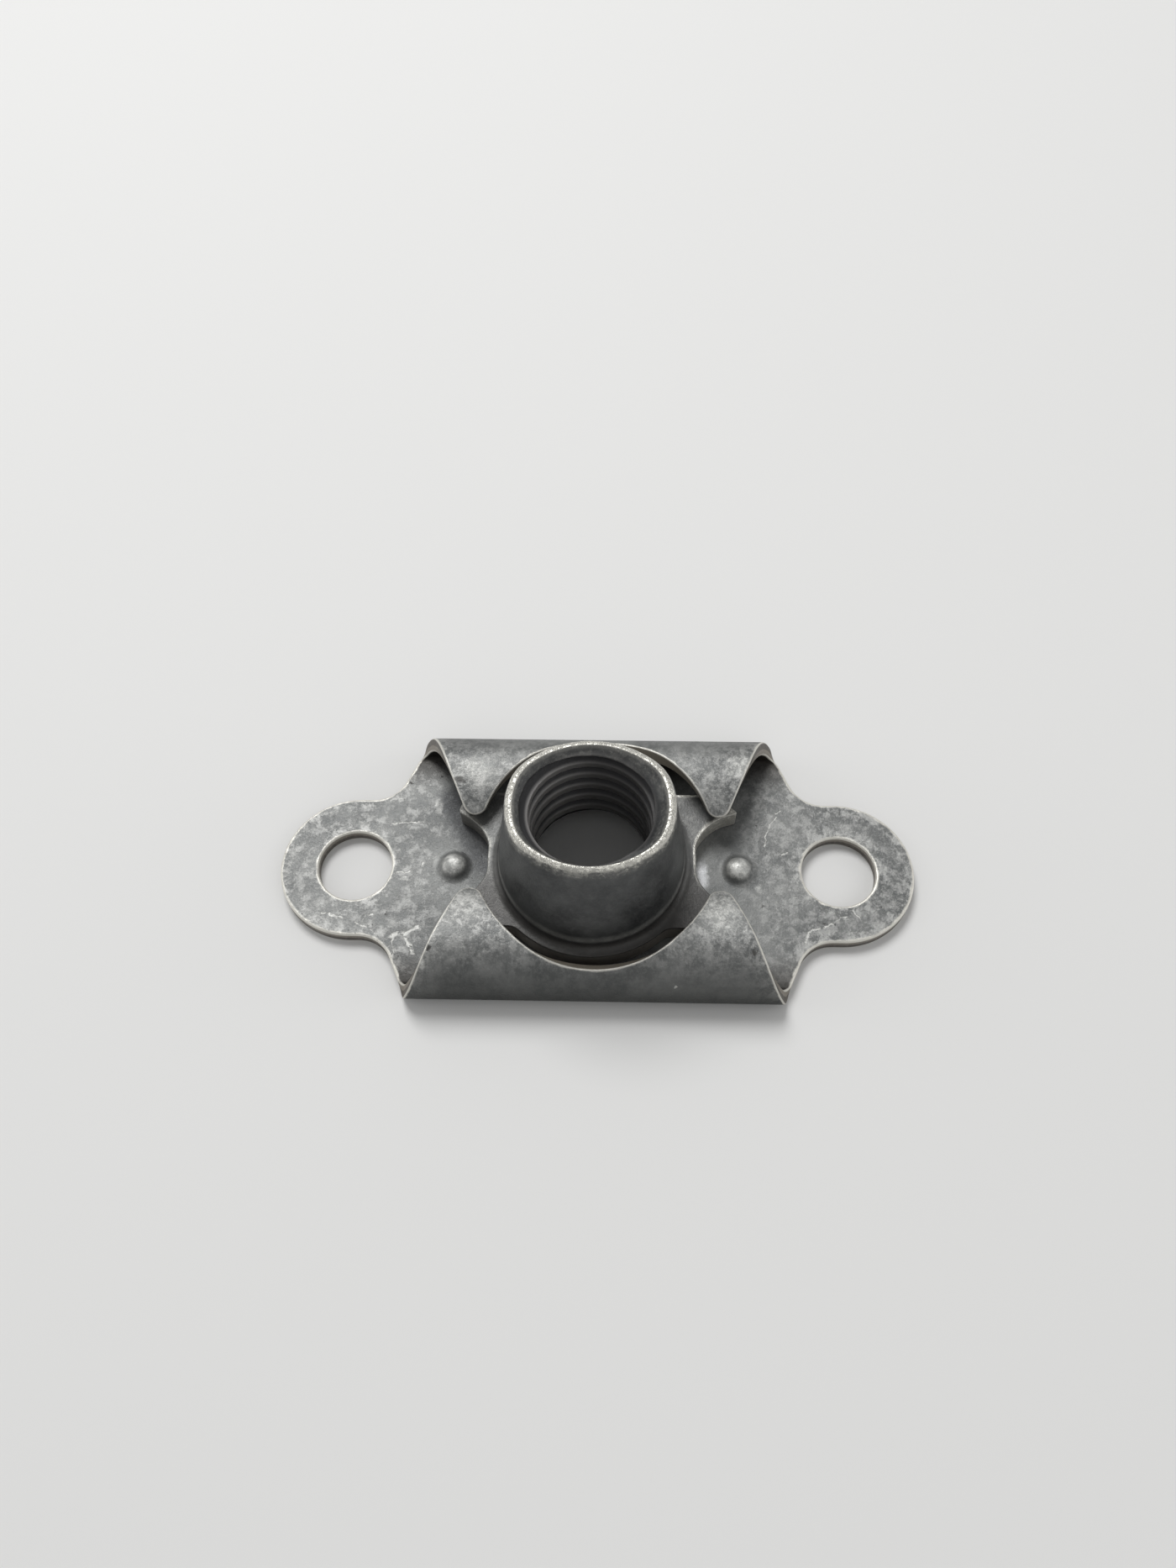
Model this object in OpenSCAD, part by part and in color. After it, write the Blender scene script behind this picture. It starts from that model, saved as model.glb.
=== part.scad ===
// Floating lock nut: a threaded nut element that floats in a folded sheet-metal cage.
// The cage's underside is z = 0, its lugs lie along X, and its side flaps roll over the nut's flange.

/* [Thread and barrel] */
// Major diameter of the internal thread
thread_d = 4.826; // [4.2:0.01:5.4]
// Thread pitch
thread_pitch = 0.794; // [0.6:0.01:1.0]
// Barrel wall outside the thread's major diameter, at the rim
barrel_wall = 0.43; // [0.35:0.01:0.6]
// Height of the nut element from its underside to its rim
nut_h = 5.05; // [4.6:0.01:6.5]
// How much wider the barrel's radius is at its foot than at its rim
barrel_taper = 0.46; // [0.2:0.01:0.7]
// Concave fillet where the barrel meets the flange
barrel_fillet = 0.3; // [0.15:0.01:0.4]
// Rounding of the rim's outer edge
rim_round = 0.2; // [0.1:0.01:0.3]
// Width of the countersink inside the rim and at the foot of the bore
lead_in = 0.45; // [0.3:0.01:0.5]
// Least width of the rim's flat top, where the squeeze narrows it
rim_land = 0.14; // [0.1:0.01:0.2]
// Inward squeeze of the rim at its front and back, which locks the thread
crimp_depth = 0.44; // [0.2:0.01:0.5]
// Length of barrel that the squeeze fades out over
crimp_h = 3.2; // [2.4:0.1:3.4]

/* [Flange] */
// Thickness of the nut's flange
flange_t = 0.85; // [0.7:0.01:1.0]
// Width of the flange's flat top outside the barrel's foot
flange_land = 0.1; // [0.06:0.01:0.14]
// Reach of the flange's ears past the barrel's foot
ear_reach = 1.6; // [1.4:0.01:1.8]
// How far the ears' outer sides lie in from the barrel's foot
ear_inset = 1.0; // [0.8:0.01:1.2]
// Radius of the scallop between two ears, round a dimple
scallop_r = 1.85; // [1.6:0.01:2.1]
// Length of the spur of flash left on one ear
spur = 0.45; // [0.2:0.01:0.6]

/* [Float] */
// Sideways play of the flange between the flaps, each way
float_y = 0.57; // [0.5:0.01:0.75]
// Lengthways play of the flange between the dimples, each way
float_x = 0.7; // [0.5:0.01:0.9]
// Where the nut lies in that lengthways play
nut_rest_x = -0.15; // [-0.4:0.01:0.4]
// Running gap under the nut's flange
under_gap = 0.02; // [0.01:0.005:0.05]
// Gap between the flange and the tips of the fingers
lip_gap = 0.1; // [0.06:0.01:0.2]

/* [Cage sheet] */
// Thickness of the cage's sheet
sheet_t = 0.5; // [0.4:0.01:0.6]
// Inside radius of the bend at the foot of each flap
bend_r = 0.15; // [0.12:0.01:0.3]
// How far the finger tips dip below the flap's crown
lip_dip = 0.43; // [0.35:0.01:0.5]
// How far the finger tips reach in from the flap's crown
lip_reach = 1.6; // [1.4:0.01:1.8]
// Clear width from the barrel's foot to the floor of the flap's notch
notch_clear = 0.45; // [0.38:0.01:0.56]
// Radius of the finger tips in the flat blank
finger_r = 0.45; // [0.35:0.01:0.5]
// Reach of the flap's flank past the barrel's foot, at the bend
flank_reach = 3.18; // [2.9:0.01:3.4]
// Slope of the flap's flank in the flat blank
flank_slope = 0.45; // [0.38:0.01:0.5]

/* [Lugs] */
// Distance between the two rivet holes
hole_spacing = 17.4625; // [17:0.0125:20]
// Diameter of a rivet hole
hole_d = 2.65; // [2.3:0.01:2.8]
// Radius of a lug's end
lug_r = 2.7; // [2.4:0.01:2.9]
// Radius of the concave fillet between a lug and a flank
neck_r = 1.3; // [0.9:0.01:1.4]
// Room round the screw in the hole under the nut
base_hole_gap = 0.8; // [0.7:0.01:0.9]

/* [Dimples] */
// Radius of a dimple's dome
dimple_r = 0.55; // [0.45:0.01:0.6]
// Height of a dimple over the sheet
dimple_h = 0.4; // [0.3:0.01:0.45]
// Radius of the punch mark under a dimple
punch_r = 0.35; // [0.3:0.01:0.4]
// Radius of the fillet round a dimple's foot
dimple_fillet = 0.3; // [0.2:0.01:0.4]

/* [Hidden] */
$fn = 96;

over = 0.1;                 // how far a cutter runs past what it cuts
bend_steps = 18;            // rings along a flap in its edge cutter
arc_steps = 10;             // steps round a finger tip and along a flank
notch_steps = 20;           // steps across a notch

// Nut element
thread_bite = 0.974;        // thread depth across the bore, in pitches
minor_r = (thread_d - thread_bite * thread_pitch) / 2;
rim_r = thread_d / 2 + barrel_wall;
foot_cone_r = rim_r + barrel_taper;
foot_r = foot_cone_r + barrel_fillet;
flange_r = foot_r + flange_land;
nut_z = sheet_t + under_gap;
flange_top = nut_z + flange_t;
lead_r = minor_r + lead_in;
lead_a = 40;                // half angle of the countersinks
lead_depth = lead_in / tan(lead_a);
ear_r = foot_r + ear_reach;
squeeze_z = nut_h - crimp_h;
squeeze_r = rim_r + barrel_taper * (crimp_h - rim_round) / (nut_h - rim_round - flange_t - barrel_fillet)
    + over / 2;

// Flap section: a tight bend, a round side and a flatter lip, each tangent to the next.
// Radii are to the outside of the sheet (o), to its middle (m) and to its inside (i).
bend_o = bend_r + sheet_t;
bend_m = bend_r + sheet_t / 2;
crown_z = flange_top + lip_gap + lip_dip + sheet_t;
side_o = crown_z - bend_o;
side_m = side_o - sheet_t / 2;
side_i = side_o - sheet_t;
lip_i = (lip_reach * lip_reach + lip_dip * lip_dip) / (2 * lip_dip);
lip_m = lip_i + sheet_t / 2;
lip_o = lip_i + sheet_t;
lip_angle = asin(lip_reach / lip_i);
wall_in = sqrt(side_i * side_i - pow(flange_top - bend_o, 2));
crown_y = flange_r + float_y - wall_in;
cage_half_w = crown_y + side_o;
bend_y = cage_half_w - bend_o;

// Lengths along the middle of the sheet, from the bend's start
function arc_len(r, a) = r * a * PI / 180;
bend_len = arc_len(bend_m, 90);
side_len = arc_len(side_m, 90);
lip_len = arc_len(lip_m, lip_angle);
flap_len = bend_len + side_len + lip_len;

// Flat blank of one flap: x along the bend, s away from it
flank_x = foot_r + flank_reach;
flank_n = sqrt(1 + flank_slope * flank_slope);
flank_a = atan(flank_slope);
finger_s = flap_len - finger_r;
finger_x = flank_x - flank_slope * finger_s - finger_r * flank_n;
notch_a = acos((foot_r + notch_clear - crown_y) / side_i);
notch_s = bend_len + arc_len(side_m, notch_a);
notch_drop = finger_s - notch_s;
notch_r = (finger_x * finger_x + notch_drop * notch_drop - finger_r * finger_r)
    / (2 * (finger_r + notch_drop));
notch_c = notch_s + notch_r;
notch_end_a = atan2(finger_x, notch_c - finger_s);

// Lugs and dimples
hole_x = hole_spacing / 2;
neck_x = flank_x + flank_slope * (bend_y - lug_r);
base_hole_r = thread_d / 2 + base_hole_gap;
dimple_c = sheet_t + dimple_h - dimple_r;
dimple_foot_r = sqrt(pow(dimple_r + dimple_fillet, 2)
    - pow(sheet_t + dimple_fillet - dimple_c, 2));
dimple_x = flange_r + float_x + dimple_foot_r;

// Where a point of the flat blank goes when the flap is folded: s along the sheet, n out of it
function folded(s, n) =
    s < 0 ? [bend_y + s, sheet_t / 2 - n] :
    s < bend_len ? let (a = 90 * s / bend_len)
        [bend_y + (bend_m + n) * sin(a), bend_o - (bend_m + n) * cos(a)] :
    s < bend_len + side_len ? let (a = 90 * (s - bend_len) / side_len)
        [crown_y + (side_m + n) * cos(a), bend_o + (side_m + n) * sin(a)] :
    let (a = lip_angle * (s - bend_len - side_len) / lip_len)
        [crown_y - (lip_m + n) * sin(a), crown_z - lip_o + (lip_m + n) * cos(a)];

// Free edge of the flap in the flat blank, from the right flank over a finger to the middle
function flank_point(s) = [flank_x - flank_slope * s, s];
flank_s0 = -2 * over;
flank_s1 = finger_s + finger_r * sin(flank_a);
half_edge = concat(
    [for (i = [0:arc_steps - 1]) flank_point(flank_s0 + (flank_s1 - flank_s0) * i / arc_steps)],
    [for (i = [0:arc_steps]) let (a = flank_a + (90 + notch_end_a - flank_a) * i / arc_steps)
        [finger_x + finger_r * cos(a), finger_s + finger_r * sin(a)]],
    [for (i = [1:notch_steps / 2]) let (a = notch_end_a * (1 - 2 * i / notch_steps))
        [notch_r * sin(a), notch_c - notch_r * cos(a)]]);
flap_edge = concat(half_edge, [for (i = [len(half_edge) - 2:-1:0]) [-half_edge[i][0], half_edge[i][1]]]);

// The flap's blank, folded, a little thicker than the sheet: its rim cuts every edge square
module folded_blank() {
    root_s = 2 * flank_s0;
    reach_n = sheet_t / 2 + bend_r / 2;
    columns = len(flap_edge);
    rows = bend_steps + 1;
    function at(i, j, n) = let (
            s = root_s + (flap_edge[i][1] - root_s) * j / bend_steps,
            p = folded(s, n))
        [flap_edge[i][0], p[0], p[1]];
    points = [for (n = [reach_n, -reach_n]) for (i = [0:columns - 1]) for (j = [0:bend_steps]) at(i, j, n)];
    function id(side, i, j) = (side * columns + i) * rows + j;
    skin = [for (i = [0:columns - 2]) for (j = [0:bend_steps - 1]) each [
        [id(0, i, j), id(0, i, j + 1), id(0, i + 1, j + 1)],
        [id(0, i, j), id(0, i + 1, j + 1), id(0, i + 1, j)],
        [id(1, i, j), id(1, i + 1, j + 1), id(1, i, j + 1)],
        [id(1, i, j), id(1, i + 1, j), id(1, i + 1, j + 1)]]];
    rims = [for (i = [0:columns - 2]) each [
        [id(0, i, 0), id(0, i + 1, 0), id(1, i + 1, 0), id(1, i, 0)],
        [id(0, i, bend_steps), id(1, i, bend_steps), id(1, i + 1, bend_steps), id(0, i + 1, bend_steps)]]];
    ends = [for (j = [0:bend_steps - 1]) each [
        [id(0, 0, j), id(1, 0, j), id(1, 0, j + 1), id(0, 0, j + 1)],
        [id(0, columns - 1, j), id(0, columns - 1, j + 1),
            id(1, columns - 1, j + 1), id(1, columns - 1, j)]]];
    polyhedron(points, concat(skin, rims, ends));
}

// A slice of a ring of sheet, from angle a0 to a1
module sheet_arc(ro, a0, a1) {
    far = 2 * ro;
    difference() {
        intersection() {
            circle(r = ro);
            polygon([[0, 0], far * [cos(a0), sin(a0)], far * [cos((a0 + a1) / 2), sin((a0 + a1) / 2)],
                far * [cos(a1), sin(a1)]]);
        }
        circle(r = ro - sheet_t);
    }
}

// The flap's section across the bend, before its edges are cut
module flap_section() {
    translate([bend_y - over, 0]) square([over, sheet_t]);
    translate([bend_y, bend_o]) sheet_arc(bend_o, -90, 0);
    translate([crown_y, bend_o]) sheet_arc(side_o, 0, 90);
    translate([crown_y, crown_z - lip_o]) sheet_arc(lip_o, 90, 90 + 2 * lip_angle);
}

module flap() {
    section_l = 2 * flank_x + 1;    // runs past the blank's root at both ends
    intersection() {
        rotate([90, 0, 90]) linear_extrude(section_l, center = true) flap_section();
        folded_blank();
    }
}

// Concave fillet between a lug's side and a flank
module neck() {
    reach = neck_r * tan((90 - flank_a) / 2);
    lug_end = [neck_x + reach, lug_r];
    flank_end = [neck_x - reach * sin(flank_a), lug_r + reach * cos(flank_a)];
    centre = lug_end + [0, neck_r];
    difference() {
        polygon([lug_end, centre, flank_end, [neck_x - neck_r, lug_r - neck_r]]);
        translate(centre) circle(r = neck_r);
    }
}

module plate_outline() {
    middle_x = flank_x + flank_slope * bend_y;
    polygon([[flank_x, bend_y], [middle_x, 0], [flank_x, -bend_y],
        [-flank_x, -bend_y], [-middle_x, 0], [-flank_x, bend_y]]);
    for (mx = [0, 1]) mirror([mx, 0]) {
        translate([hole_x, 0]) circle(r = lug_r);
        translate([0, -lug_r]) square([hole_x, 2 * lug_r]);
        for (my = [0, 1]) mirror([0, my]) neck();
    }
}

// A formed dimple: a domed bump above the sheet, with a fillet round its foot
module dimple() {
    foot_z = sheet_t + dimple_fillet;
    contact_r = dimple_foot_r * dimple_r / (dimple_r + dimple_fillet);
    contact_z = dimple_c + (foot_z - dimple_c) * dimple_r / (dimple_r + dimple_fillet);
    rotate_extrude() difference() {
        union() {
            intersection() {
                translate([0, dimple_c]) circle(r = dimple_r);
                translate([0, contact_z]) square(dimple_r);
            }
            polygon([[0, sheet_t - over], [dimple_foot_r, sheet_t - over], [dimple_foot_r, sheet_t],
                [contact_r, contact_z], [0, contact_z]]);
        }
        translate([dimple_foot_r, foot_z]) circle(r = dimple_fillet);
    }
}

// The flange: a disc under the barrel with four ears, and a scallop round each dimple
module flange_outline() {
    scallop_x = foot_r + scallop_r;
    ear_w = foot_r - ear_inset;
    tip_x = sqrt(ear_r * ear_r - scallop_r * scallop_r);
    circle(r = flange_r);
    difference() {
        union() {
            intersection() {
                circle(r = ear_r);
                square([2 * ear_r, 2 * ear_w], center = true);
            }
            polygon([[tip_x - spur, scallop_r - spur], [tip_x + spur, scallop_r], [tip_x - spur, ear_w]]);
        }
        for (sx = [-1, 1]) translate([sx * scallop_x, 0]) circle(r = scallop_r);
    }
}

// The barrel before it is squeezed: a fillet at the foot, a cone and a rounded rim
module barrel_turned() rotate_extrude() difference() {
    union() {
        polygon([[0, 0], [foot_r, 0], [foot_r, flange_t], [foot_cone_r, flange_t + barrel_fillet],
            [rim_r, nut_h - rim_round], [0, nut_h - rim_round]]);
        square([rim_r - rim_round, nut_h]);
        translate([rim_r - rim_round, nut_h - rim_round]) circle(r = rim_round);
    }
    translate([foot_r, flange_t + barrel_fillet]) circle(r = barrel_fillet);
}

// One side of the squeeze: all that lies inside a wide cylinder that leans in towards the rim
module squeezed_side(inset = 0) {
    wide_r = 1.2 * rim_r;
    lean = atan((squeeze_r - rim_r + crimp_depth) / crimp_h);
    translate([0, inset - squeeze_r, squeeze_z]) rotate([-lean, 0, 0])
        translate([0, wide_r, 0]) cylinder(r = wide_r, h = nut_h);
}

// The barrel as squeezed, oval at the rim and round at the foot
module barrel() intersection() {
    barrel_turned();
    union() {
        cylinder(r = 2 * foot_r, h = squeeze_z);
        intersection() {
            squeezed_side();
            mirror([0, 1, 0]) squeezed_side();
        }
    }
}

module cage() color("slategray") difference() {
    union() {
        linear_extrude(sheet_t) plate_outline();
        flap();
        mirror([0, 1, 0]) flap();
        for (sx = [-1, 1]) translate([sx * dimple_x, 0, 0]) dimple();
    }
    for (sx = [-1, 1]) {
        translate([sx * hole_x, 0, -over]) cylinder(r = hole_d / 2, h = sheet_t + 2 * over);
        translate([sx * dimple_x, 0, dimple_h - punch_r]) sphere(r = punch_r);
    }
    translate([0, 0, -over]) cylinder(r = base_hole_r, h = sheet_t + 2 * over);
}

// The countersink in the rim, squeezed like the rim so that a narrow land is left all round
module rim_lead_in() intersection() {
    translate([0, 0, nut_h - lead_depth]) cylinder(r1 = minor_r, r2 = lead_r, h = lead_depth);
    squeezed_side(rim_land);
    mirror([0, 1, 0]) squeezed_side(rim_land);
}

module nut_element() color("dimgray") translate([nut_rest_x, 0, nut_z]) difference() {
    union() {
        linear_extrude(flange_t) flange_outline();
        barrel();
    }
    translate([0, 0, -over]) cylinder(r = minor_r, h = nut_h + 2 * over);
    rim_lead_in();
    cylinder(r1 = lead_r, r2 = minor_r, h = lead_depth);
}

cage();
nut_element();
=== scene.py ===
# %% [markdown]
# # A floating lock nut, dressed from its CAD frame
# The part is a folded sheet-steel cage, 23 mm long, with a threaded nut held loosely under its rolled flaps.
# The CAD model says where every surface is. This lesson rebuilds both pieces as finer meshes in the same
# place, cuts the real thread, and gives each surface its worn coating.

# %% Load the frame
import math

import bpy
import numpy as np
from mathutils import Matrix, Vector
from mathutils.geometry import delaunay_2d_cdt


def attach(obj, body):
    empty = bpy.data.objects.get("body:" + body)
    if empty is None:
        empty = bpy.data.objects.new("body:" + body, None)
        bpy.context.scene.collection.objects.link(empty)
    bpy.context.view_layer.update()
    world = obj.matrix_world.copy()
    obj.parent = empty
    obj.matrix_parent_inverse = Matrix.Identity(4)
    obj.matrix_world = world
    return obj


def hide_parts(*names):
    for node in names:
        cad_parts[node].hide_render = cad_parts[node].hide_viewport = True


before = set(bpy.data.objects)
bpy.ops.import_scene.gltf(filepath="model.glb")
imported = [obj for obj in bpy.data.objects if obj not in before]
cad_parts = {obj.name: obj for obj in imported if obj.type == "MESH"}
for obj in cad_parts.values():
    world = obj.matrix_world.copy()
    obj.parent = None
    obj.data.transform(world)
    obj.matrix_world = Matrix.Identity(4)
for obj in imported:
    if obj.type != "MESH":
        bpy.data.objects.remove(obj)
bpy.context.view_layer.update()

MM = 0.001

# %% [markdown]
# ## Sizes
# All lengths are in millimetres and repeat the ones that drive the CAD model, so the finer meshes fill the
# same space. A size could be typed wherever it is needed. Here each gets one name, and later cells use it.

# %% Sizes of the sheet, its holes and its lugs
SHEET = 0.5  # thickness of the steel
HOLE_X = 17.4625 / 2  # from the middle to a rivet hole
RIVET_HOLE_R = 1.325
SCREW_HOLE_R = 3.213  # clearance hole under the nut
LUG_R = 2.7  # round end of a lug
NECK_R = 1.3  # hollow corner between a lug and a flank
print("rivet holes", 2 * HOLE_X, "mm apart")

# %% Sizes of the flaps and the dimples
BEND_IN = 0.15  # inside radius of the bend at a flap's foot
FLANK_REACH = 3.18  # from the barrel's foot out to the flank, at the bend
FLANK_SLOPE = 0.45  # of the flank in the flat blank
FINGER_R = 0.45  # finger tip in the flat blank
LIP_REACH = 1.6  # from a flap's crown in to its finger tips
LIP_DIP = 0.43  # from the crown down to the tips
LIP_GAP = 0.1  # between the tips and the flange
NOTCH_CLEAR = 0.45  # between the barrel's foot and the notch
FLOAT_Y = 0.57  # the flange's play between the flaps, each way
FLOAT_X = 0.7  # and between the dimples
DOME_R, DOME_H, DOME_FILLET, PUNCH_R = 0.55, 0.4, 0.3, 0.35
print("dimples", DOME_H, "mm high")

# %% Sizes of the nut
THREAD_R = 4.826 / 2
PITCH = 0.794
THREAD_BITE = 0.487  # depth of the groove, in pitches
MINOR_R = THREAD_R - THREAD_BITE * PITCH
NUT_H = 5.05
NUT_X = -0.15  # the nut lies a little left of the middle
NUT_Z = SHEET + 0.02  # with a running gap under its flange
FLANGE_T = 0.85
FOOT_FILLET = 0.3  # between the barrel and the flange
RIM_R = THREAD_R + 0.43  # the barrel's wall at its rim
CONE_R = RIM_R + 0.46  # the barrel widens to its foot
FOOT_R = CONE_R + FOOT_FILLET
FLANGE_R = FOOT_R + 0.1  # round parts of the flange
EAR_R = FOOT_R + 1.6  # outer ends of the ears
EAR_W = FOOT_R - 1.0  # straight sides of the ears
SCALLOP_R = 1.85  # between two ears, round a dimple
SPUR = 0.45  # of flash on one ear
RIM_ROUND = 0.2
SQUEEZE_H = 3.2  # length of barrel that the squeeze fades out over
SQUEEZE = 0.44  # its depth at the rim
LEAD = 0.45  # width of the countersinks
print("bore", round(2 * MINOR_R, 3), "mm, rim", round(2 * RIM_R, 3), "mm across")

# %% [markdown]
# ## The fold
# Each flap of the cage is a tight bend, a round side and a flatter lip that rolls over the nut. The section
# could be drawn by eye with a curve. It is worked out as three arcs, each tangent to the next, because then
# the length of sheet in every arc is known and the flat blank comes out right.

# %% Arcs of the fold
BEND_OUT = BEND_IN + SHEET
CROWN_Z = NUT_Z + FLANGE_T + LIP_GAP + LIP_DIP + SHEET
SIDE_OUT = CROWN_Z - BEND_OUT
SIDE_IN = SIDE_OUT - SHEET
LIP_IN = (LIP_REACH**2 + LIP_DIP**2) / (2 * LIP_DIP)
LIP_OUT = LIP_IN + SHEET
LIP_ANGLE = math.asin(LIP_REACH / LIP_IN)
CROWN_Y = FLANGE_R + FLOAT_Y - math.sqrt(SIDE_IN**2 - (NUT_Z + FLANGE_T - BEND_OUT) ** 2)
BEND_Y = CROWN_Y + SIDE_OUT - BEND_OUT
print("crown", round(CROWN_Z, 3), "mm up, bend", round(BEND_Y, 3), "mm from the middle")

# %% Length of sheet in each arc, along the middle of the sheet
BEND_MID = BEND_OUT - SHEET / 2
SIDE_MID = SIDE_OUT - SHEET / 2
LIP_MID = LIP_OUT - SHEET / 2
BEND_LEN = BEND_MID * math.pi / 2
SIDE_LEN = SIDE_MID * math.pi / 2
LIP_LEN = LIP_MID * LIP_ANGLE
FLAP_LEN = BEND_LEN + SIDE_LEN + LIP_LEN
print("flap", round(FLAP_LEN, 3), "mm of sheet")

# %% [markdown]
# ## The flat blank
# A press cuts the cage from flat strip before it folds it. The folded shape could be modelled directly, but
# its edges would then have to be guessed. So the mesh is made as the press does it.
# The outline is drawn once for a quarter of the blank: round the lug, in through the neck, out along the
# flank, over the finger and into the notch. Two mirrors complete it.

# %% Points along arcs and loops
ARC_STEP = 0.02


def arc(centre, radius, start, stop):
    count = max(3, int(abs(stop - start) * radius / ARC_STEP) + 1)
    a = np.linspace(start, stop, count)
    return np.column_stack([centre[0] + radius * np.cos(a), centre[1] + radius * np.sin(a)])


def mirrored(points, axis):
    flipped = points[::-1].copy()
    flipped[:, axis] *= -1
    return flipped


def evenly(points, step):
    """A closed loop of points, spaced evenly along itself."""
    ring = np.vstack([points, points[:1]])
    along = np.concatenate([[0], np.cumsum(np.linalg.norm(np.diff(ring, axis=0), axis=1))])
    at = np.linspace(0, along[-1], int(along[-1] / step) + 1)[:-1]
    return np.column_stack([np.interp(at, along, ring[:, k]) for k in (0, 1)])


print("a lug's end takes", len(arc((0, 0), LUG_R, 0, math.pi)), "points")

# %% Where the flank, the finger and the notch lie
flank_x = FOOT_R + FLANK_REACH
flank_n = math.hypot(1, FLANK_SLOPE)
flank_a = math.atan(FLANK_SLOPE)
finger_s = FLAP_LEN - FINGER_R
finger_x = flank_x - FLANK_SLOPE * finger_s - FINGER_R * flank_n
notch_s = BEND_LEN + SIDE_MID * math.acos((FOOT_R + NOTCH_CLEAR - CROWN_Y) / SIDE_IN)
notch_drop = finger_s - notch_s
notch_r = (finger_x**2 + notch_drop**2 - FINGER_R**2) / (2 * (FINGER_R + notch_drop))
notch_c = notch_s + notch_r
notch_a = math.atan2(finger_x, notch_c - finger_s)
print("notch radius", round(notch_r, 3), "mm, fingers", round(2 * finger_x, 3), "mm apart")

# %% The blank's whole outline
EDGE_STEP = 0.08
neck_x = flank_x + FLANK_SLOPE * (BEND_Y - LUG_R)
neck_reach = NECK_R * math.tan((math.pi / 2 - flank_a) / 2)
neck_at = (neck_x + neck_reach, LUG_R + NECK_R)
quarter = np.vstack([
    arc((HOLE_X, 0), LUG_R, 0, math.pi / 2),
    arc(neck_at, NECK_R, 1.5 * math.pi, math.pi + flank_a),
    arc((finger_x, BEND_Y + finger_s), FINGER_R, flank_a, math.pi / 2 + notch_a),
    arc((0, BEND_Y + notch_c), notch_r, -math.pi / 2 + notch_a, -math.pi / 2),
])
half = np.vstack([quarter, mirrored(quarter, 0)[1:]])
outline = evenly(np.vstack([half, mirrored(half, 1)[1:-1]]), EDGE_STEP)
print("blank", np.round(np.ptp(outline, axis=0), 2), "mm, outline of", len(outline), "points")

# %% [markdown]
# ## From an outline to a sheet
# A real cut edge isn't sharp: the punch rolls one corner over and leaves the other nearly square.
# A Bevel modifier could round both, but it tangles where edges are short. So each loop gets a little profile
# that runs from the upper face, round both corners, to the lower face. The faces between the loops are
# triangulated by a constrained Delaunay fill, with extra points where the sheet will bend.

# %% Helpers for loops
def outward(loop):
    """Unit vectors that point out of the material, for a loop with the material on its left."""
    along = np.roll(loop, -1, axis=0) - np.roll(loop, 1, axis=0)
    along /= np.linalg.norm(along, axis=1)[:, None]
    return np.column_stack([along[:, 1], -along[:, 0]])


def hole(x, y, radius, count):
    a = -np.arange(count) * 2 * math.pi / count
    return np.column_stack([x + radius * np.cos(a), y + radius * np.sin(a)])


def at_height(flat, z):
    return np.column_stack([flat, np.broadcast_to(z, len(flat))])


sheet_loops = [outline, hole(-HOLE_X, 0, RIVET_HOLE_R, 96), hole(HOLE_X, 0, RIVET_HOLE_R, 96),
               hole(0, 0, SCREW_HOLE_R, 192)]
print([len(loop) for loop in sheet_loops], "points round the outline and the three holes")


# %% Which points are in the metal, and how far from its edges
def inside(points, loop):
    """Which points lie inside a loop, by counting the loop's edges that a ray crosses."""
    result = np.zeros(len(points), bool)
    for (ax, ay), (bx, by) in zip(loop, np.roll(loop, -1, axis=0)):
        if ay == by:
            continue
        crosses = (ay > points[:, 1]) != (by > points[:, 1])
        result ^= crosses & (points[:, 0] < ax + (points[:, 1] - ay) * (bx - ax) / (by - ay))
    return result


def in_metal(points, loops):
    """Which points lie inside the first loop and outside the others."""
    keep = inside(points, loops[0])
    for loop in loops[1:]:
        keep &= ~inside(points, loop)
    return keep


def gap_to(points, loops):
    """Distance from each point to the nearest point of any loop."""
    rims = np.vstack(loops)
    return np.array([np.min(np.hypot(rims[:, 0] - x, rims[:, 1] - y)) for x, y in points])


middle_and_lug = np.array([(0, 0), (HOLE_X + 2, 0)])
print("metal in the middle and on a lug:", in_metal(middle_and_lug, sheet_loops))


# %% The profile of a cut edge, and the fill between edges
def corner_profile(thick, upper, lower, hold, steps=4):
    """(inset, height) pairs from the upper face to the lower one, round both corners of a cut edge."""
    turn = np.linspace(0, math.pi / 2, steps + 1)
    top = [(upper * (1 - math.sin(t)), thick - upper * (1 - math.cos(t))) for t in turn]
    low = [(lower * (1 - math.cos(t)), lower * (1 - math.sin(t))) for t in turn]
    return [(hold, thick)] + top + low + [(hold, 0)]


def fill(loops, extra):
    """Triangles over extra points, between a first loop and the holes that the others make in it."""
    points = np.vstack(loops + [extra])
    edges, start = [], 0
    for loop in loops:
        n = len(loop)
        edges += [(start + k, start + (k + 1) % n) for k in range(n)]
        start += n
    _, _, faces, origin, _, _ = delaunay_2d_cdt([tuple(p) for p in points], edges, [], 0, 1e-6)
    names = np.array([o[0] for o in origin])
    faces = names[np.array(faces)]
    return points, faces[in_metal(points[faces].mean(axis=1), loops)]


SHEET_HOLD = 0.13  # flat border that holds the fill off the rounding
sheet_profile = corner_profile(SHEET, 0.08, 0.05, SHEET_HOLD)
print(len(sheet_profile), "points from face to face of the sheet")


# %% A mesh that grows ring by ring
def band(first, second):
    """Quads between two rings of the same count, both with the material on their left."""
    after = np.roll(np.arange(len(first)), -1)
    return [[first[k], second[k], second[after[k]], first[after[k]]] for k in range(len(first))]


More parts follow.
